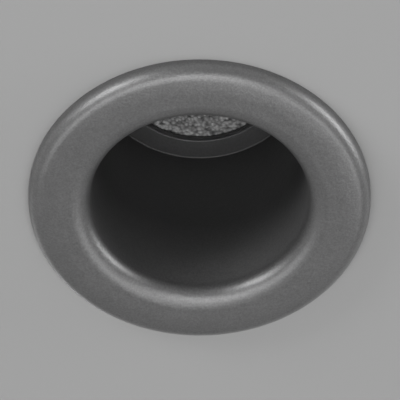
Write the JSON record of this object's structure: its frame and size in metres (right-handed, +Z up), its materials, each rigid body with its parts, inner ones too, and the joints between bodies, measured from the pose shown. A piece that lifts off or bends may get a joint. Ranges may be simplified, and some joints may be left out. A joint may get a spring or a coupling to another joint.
{
  "type": "recessed light",
  "caption": "Deep round recessed ceiling light: textured dark trim with a long anti-glare throat, sealed LED engine behind a pebbled lens, finned heat sink, cable gland and sprung side clips.",
  "frame": {"origin": "centre of the ring on the back of the trim that seats on the ceiling", "axes": "+Z points up into the ceiling, away from the room; +X and -X point along the clip arms; the cable gland stands towards +Y"},
  "size_m": [0.1216, 0.09, 0.1371],
  "materials": {
    "trim_paint": "satin, fine sand texture powder coat",
    "seal_rubber": "matt closed-cell foam and rubber",
    "bezel_paint": "satin powder coat",
    "lens_glass": "pebbled frosted glass",
    "reflector_metal": "bright satin anodised",
    "holder_plastic": "moulded white plastic",
    "screw_steel": "zinc plated",
    "board_metal": "white solder mask on aluminium",
    "phosphor": "silicone phosphor",
    "pad_silicone": "soft thermal pad",
    "sink_metal": "dark anodised die casting",
    "gland_plastic": "black moulded polyamide",
    "clip_steel": "zinc plated spring steel",
    "spring_steel": "drawn spring wire"
  },
  "bodies": {
    "light": {"trim_housing": "trim_paint", "ceiling_gasket": "seal_rubber", "lens_bezel": "bezel_paint", "lens_seal": "seal_rubber", "lens": "lens_glass", "reflector": "reflector_metal", "led_holder": "holder_plastic", "holder_screws": "screw_steel", "led_board": "board_metal", "led_phosphor": "phosphor", "thermal_pad": "pad_silicone", "base_gasket": "seal_rubber", "heat_sink": "sink_metal", "heat_sink_screws": "screw_steel", "gland_washer": "seal_rubber", "gland_body": "gland_plastic", "gland_seal": "seal_rubber", "gland_nut": "gland_plastic", "clip_bracket_left": "clip_steel", "bracket_screws_left": "screw_steel", "clip_pin_left": "clip_steel", "pin_ring_left": "spring_steel", "clip_bracket_right": "clip_steel", "bracket_screws_right": "screw_steel", "clip_pin_right": "clip_steel", "pin_ring_right": "spring_steel"},
    "clip_left": {"clip_spring_left": "spring_steel", "clip_arm_left": "clip_steel", "arm_pad_left": "seal_rubber"},
    "clip_right": {"clip_spring_right": "spring_steel", "clip_arm_right": "clip_steel", "arm_pad_right": "seal_rubber"}
  },
  "joints": [
    {"name": "clip_left_fold", "type": "hinge", "parent": "light", "child": "clip_left", "pos_m": [-0.03405, 0, 0.016], "axis": [0, 1, 0], "range_deg": [0, 112], "stiffness_Nm_per_rad": 0.15, "springref_deg": -68.75, "deforming": ["clip_spring_left"]},
    {"name": "clip_right_fold", "type": "hinge", "parent": "light", "child": "clip_right", "pos_m": [0.03405, 0, 0.016], "axis": [0, -1, 0], "range_deg": [0, 112], "stiffness_Nm_per_rad": 0.15, "springref_deg": -68.75, "deforming": ["clip_spring_right"]}
  ]
}
